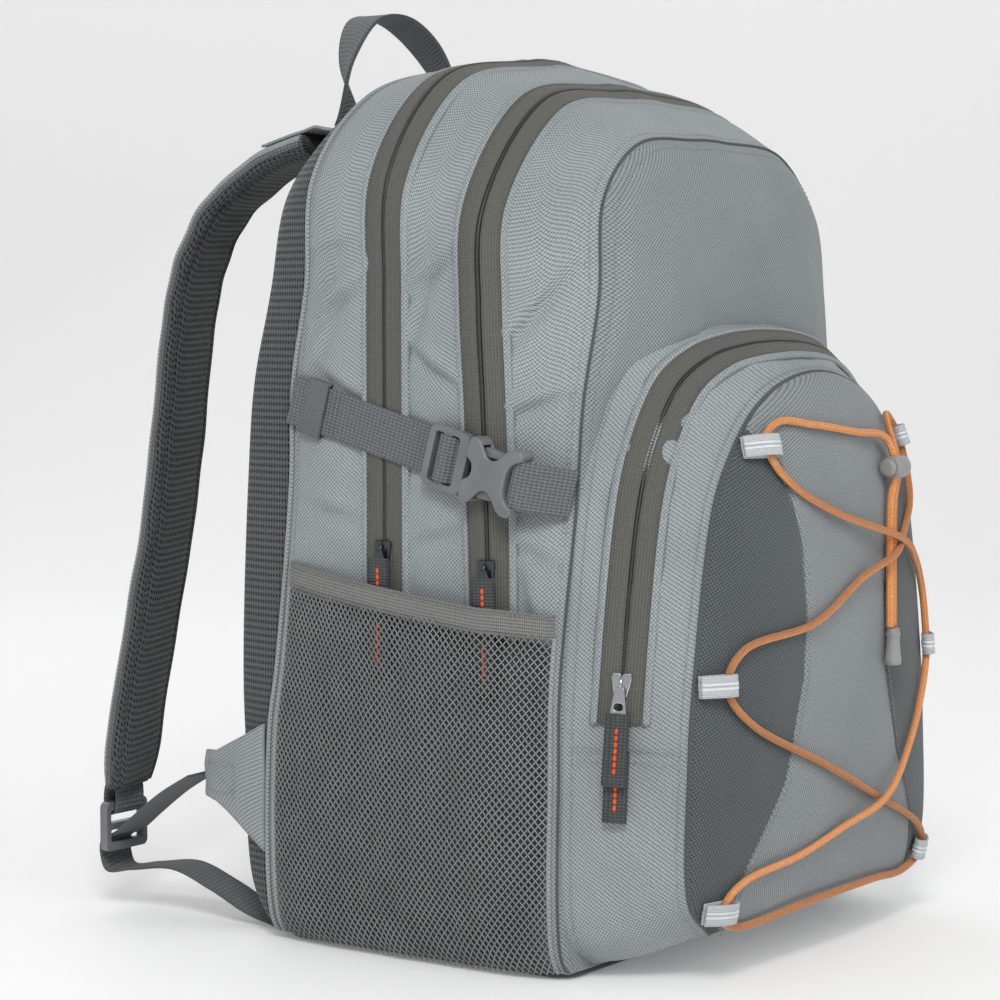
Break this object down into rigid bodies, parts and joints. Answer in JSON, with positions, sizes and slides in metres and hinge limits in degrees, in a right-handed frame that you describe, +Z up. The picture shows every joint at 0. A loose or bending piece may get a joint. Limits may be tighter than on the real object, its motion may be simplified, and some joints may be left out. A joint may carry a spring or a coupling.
{
  "type": "daypack",
  "caption": "Hiking daypack with two arched main zips, laced front pocket, net side pockets, compression straps and padded shoulder straps, standing on a flat base",
  "frame": {"origin": "centre of the flat base face, where the pack stands", "axes": "+Z up; -Y out of the front pocket; +Y out of the back panel towards the wearer; -X is the side where the zip sliders are parked"},
  "size_m": [0.329, 0.4175, 0.5038],
  "materials": {
    "grey_fabric": "plain-weave coated polyester, matt",
    "panel_fabric": "plain-weave coated polyester, matt, slightly darker grey",
    "dark_fabric": "plain-weave coated polyester, dark grey",
    "zip_tape": "knitted zip tape with a coil down its middle",
    "spacer_mesh": "knitted spacer mesh, dark grey",
    "net": "open diamond net, dark grey",
    "elastic": "ribbed woven elastic band",
    "webbing": "ribbed polyester webbing",
    "grey_plastic": "moulded acetal, satin",
    "dark_metal": "dark lacquered die-cast zinc",
    "bright_metal": "bright plated die-cast zinc",
    "reflective": "silver reflective tape with a brighter centre stripe",
    "orange_cord": "braided elastic cord, orange with light flecks",
    "frame_sheet": "stiff polyethylene sheet"
  },
  "bodies": {
    "pack": {"rear_compartment": "grey_fabric", "middle_compartment": "grey_fabric", "pocket_gusset": "grey_fabric", "front_compartment": "panel_fabric", "pocket_face": "panel_fabric", "base_panel": "dark_fabric", "frame_sheet": "frame_sheet", "back_panel": "spacer_mesh", "rear_zip_tape": "zip_tape", "middle_zip_tape": "zip_tape", "pocket_zip_tape": "zip_tape", "net_pocket_left": "net", "pocket_elastic_left": "elastic", "compression_webbing_rear_left": "webbing", "webbing_keeper_left": "webbing", "compression_webbing_front_left": "webbing", "adjuster_webbing_left": "webbing", "buckle_female_left": "grey_plastic", "corner_tab_left": "grey_fabric", "cord_loop_upper_left": "reflective", "cord_loop_middle_left": "reflective", "cord_loop_lower_left": "reflective", "net_pocket_right": "net", "pocket_elastic_right": "elastic", "compression_webbing_rear_right": "webbing", "webbing_keeper_right": "webbing", "compression_webbing_front_right": "webbing", "adjuster_webbing_right": "webbing", "buckle_female_right": "grey_plastic", "corner_tab_right": "grey_fabric", "cord_loop_upper_right": "reflective", "cord_loop_middle_right": "reflective", "cord_loop_lower_right": "reflective", "elastic_cord": "orange_cord", "cord_end": "grey_plastic"},
    "strap_left": {"shoulder_strap_left": "spacer_mesh"},
    "ladder_lock_left": {"ladder_lock_left": "grey_plastic"},
    "strap_right": {"shoulder_strap_right": "spacer_mesh"},
    "ladder_lock_right": {"ladder_lock_right": "grey_plastic"},
    "haul_loop": {"haul_loop": "webbing"},
    "buckle_male_left": {"buckle_male_left": "grey_plastic"},
    "buckle_prong_upper_left": {"buckle_prong_upper_left": "grey_plastic"},
    "buckle_prong_lower_left": {"buckle_prong_lower_left": "grey_plastic"},
    "buckle_male_right": {"buckle_male_right": "grey_plastic"},
    "buckle_prong_upper_right": {"buckle_prong_upper_right": "grey_plastic"},
    "buckle_prong_lower_right": {"buckle_prong_lower_right": "grey_plastic"},
    "rear_upper_slider": {"rear_upper_slider": "dark_metal"},
    "rear_upper_pull": {"rear_upper_pull_tab": "webbing"},
    "rear_lower_slider": {"rear_lower_slider": "dark_metal"},
    "rear_lower_pull": {"rear_lower_pull_tab": "webbing"},
    "middle_upper_slider": {"middle_upper_slider": "dark_metal"},
    "middle_upper_pull": {"middle_upper_pull_tab": "webbing"},
    "middle_lower_slider": {"middle_lower_slider": "dark_metal"},
    "middle_lower_pull": {"middle_lower_pull_tab": "webbing"},
    "pocket_upper_slider": {"pocket_upper_slider": "bright_metal"},
    "pocket_upper_pull": {"pocket_upper_pull_tab": "webbing"},
    "pocket_lower_slider": {"pocket_lower_slider": "dark_metal"},
    "pocket_lower_pull": {"pocket_lower_pull_tab": "webbing"},
    "cord_lock": {"cord_lock_body": "grey_plastic"},
    "cord_lock_button": {"cord_lock_button": "grey_plastic"}
  },
  "joints": [
    {"name": "strap_swing_left", "type": "hinge", "parent": "pack", "child": "strap_left", "pos_m": [-0.052, 0.138, 0.438], "axis": [1, 0, 0], "range_deg": [-7, 0], "deforming": ["adjuster_webbing_left"]},
    {"name": "ladder_lock_tilt_left", "type": "hinge", "parent": "strap_left", "child": "ladder_lock_left", "pos_m": [-0.127, 0.233, 0.061], "axis": [1, 0, 0], "range_deg": [0, 30], "deforming": ["adjuster_webbing_left"]},
    {"name": "strap_swing_right", "type": "hinge", "parent": "pack", "child": "strap_right", "pos_m": [0.052, 0.138, 0.438], "axis": [1, 0, 0], "range_deg": [-7, 0], "deforming": ["adjuster_webbing_right"]},
    {"name": "ladder_lock_tilt_right", "type": "hinge", "parent": "strap_right", "child": "ladder_lock_right", "pos_m": [0.127, 0.233, 0.061], "axis": [1, 0, 0], "range_deg": [0, 30], "deforming": ["adjuster_webbing_right"]},
    {"name": "haul_loop_fold", "type": "hinge", "parent": "pack", "child": "haul_loop", "pos_m": [0, 0.131, 0.441], "axis": [1, 0, 0], "range_deg": [-70, 35]},
    {"name": "buckle_slide_left", "type": "slide", "parent": "pack", "child": "buckle_male_left", "axis": [0, 0.9659, 0.2587], "range_m": [0, 0.032]},
    {"name": "prong_press_upper_left", "type": "hinge", "parent": "buckle_male_left", "child": "buckle_prong_upper_left", "pos_m": [-0.1585, -0.03136, 0.26775], "axis": [-1, 0, 0], "range_deg": [-8, 0], "stiffness_Nm_per_rad": 0.01},
    {"name": "prong_press_lower_left", "type": "hinge", "parent": "buckle_male_left", "child": "buckle_prong_lower_left", "pos_m": [-0.1585, -0.0267, 0.25037], "axis": [-1, 0, 0], "range_deg": [0, 8], "stiffness_Nm_per_rad": 0.01},
    {"name": "buckle_slide_right", "type": "slide", "parent": "pack", "child": "buckle_male_right", "axis": [0, 0.9659, 0.2587], "range_m": [0, 0.032]},
    {"name": "prong_press_upper_right", "type": "hinge", "parent": "buckle_male_right", "child": "buckle_prong_upper_right", "pos_m": [0.1585, -0.03136, 0.26775], "axis": [1, 0, 0], "range_deg": [0, 8], "stiffness_Nm_per_rad": 0.01},
    {"name": "prong_press_lower_right", "type": "hinge", "parent": "buckle_male_right", "child": "buckle_prong_lower_right", "pos_m": [0.1585, -0.0267, 0.25037], "axis": [1, 0, 0], "range_deg": [-8, 0], "stiffness_Nm_per_rad": 0.01},
    {"name": "rear_upper_slider_slide", "type": "slide", "parent": "pack", "child": "rear_upper_slider", "axis": [0, 0, 1], "range_m": [0, 0.035]},
    {"name": "rear_upper_pull_swing", "type": "hinge", "parent": "rear_upper_slider", "child": "rear_upper_pull", "pos_m": [-0.158, 0.028, 0.21], "axis": [-1, 0, 0], "range_deg": [-12, 12]},
    {"name": "rear_lower_slider_slide", "type": "slide", "parent": "pack", "child": "rear_lower_slider", "axis": [0, 0, 1], "range_m": [-0.02, 0]},
    {"name": "rear_lower_pull_swing", "type": "hinge", "parent": "rear_lower_slider", "child": "rear_lower_pull", "pos_m": [-0.158, 0.028, 0.183], "axis": [-1, 0, 0], "range_deg": [-12, 12]},
    {"name": "middle_upper_slider_slide", "type": "slide", "parent": "pack", "child": "middle_upper_slider", "axis": [0, 0.0344, 0.9994], "range_m": [0, 0.018]},
    {"name": "middle_upper_pull_swing", "type": "hinge", "parent": "middle_upper_slider", "child": "middle_upper_pull", "pos_m": [-0.15796, -0.03735, 0.20303], "axis": [-0.9946, -0.1035, 0.0036], "range_deg": [-12, 5]},
    {"name": "middle_lower_slider_slide", "type": "slide", "parent": "pack", "child": "middle_lower_slider", "axis": [0, 0.0297, 0.9996], "range_m": [-0.02, 0]},
    {"name": "middle_lower_pull_swing", "type": "hinge", "parent": "middle_lower_slider", "child": "middle_lower_pull", "pos_m": [-0.15798, -0.03789, 0.17602], "axis": [-0.998, -0.0634, 0.0019], "range_deg": [-12, 7]},
    {"name": "pocket_upper_slider_slide", "type": "slide", "parent": "pack", "child": "pocket_upper_slider", "axis": [0.1212, 0.0004, 0.9926], "range_m": [0, 0.035]},
    {"name": "pocket_upper_pull_lift", "type": "hinge", "parent": "pocket_upper_slider", "child": "pocket_upper_pull", "pos_m": [-0.14371, -0.10893, 0.13903], "axis": [-0.3547, 0.934, 0.043], "range_deg": [0, 60]},
    {"name": "pocket_lower_slider_slide", "type": "slide", "parent": "pack", "child": "pocket_lower_slider", "axis": [0.0844, 0, 0.9964], "range_m": [0, 0.004]},
    {"name": "pocket_lower_pull_swing", "type": "hinge", "parent": "pocket_lower_slider", "child": "pocket_lower_pull", "pos_m": [-0.14205, -0.10765, 0.12043], "axis": [-0.9357, -0.3438, 0.0792], "range_deg": [-8, 8]},
    {"name": "cord_lock_slide", "type": "slide", "parent": "pack", "child": "cord_lock", "axis": [0, -0.0797, -0.9968], "range_m": [0, 0.015], "deforming": ["elastic_cord"]},
    {"name": "cord_lock_press", "type": "slide", "parent": "cord_lock", "child": "cord_lock_button", "axis": [1, 0, 0], "range_m": [0, 0.002], "stiffness_N_per_m": 60}
  ],
  "couplings": [
    {"joint": "prong_press_lower_left", "follows": "prong_press_upper_left", "ratio": -1},
    {"joint": "prong_press_lower_right", "follows": "prong_press_upper_right", "ratio": -1}
  ]
}
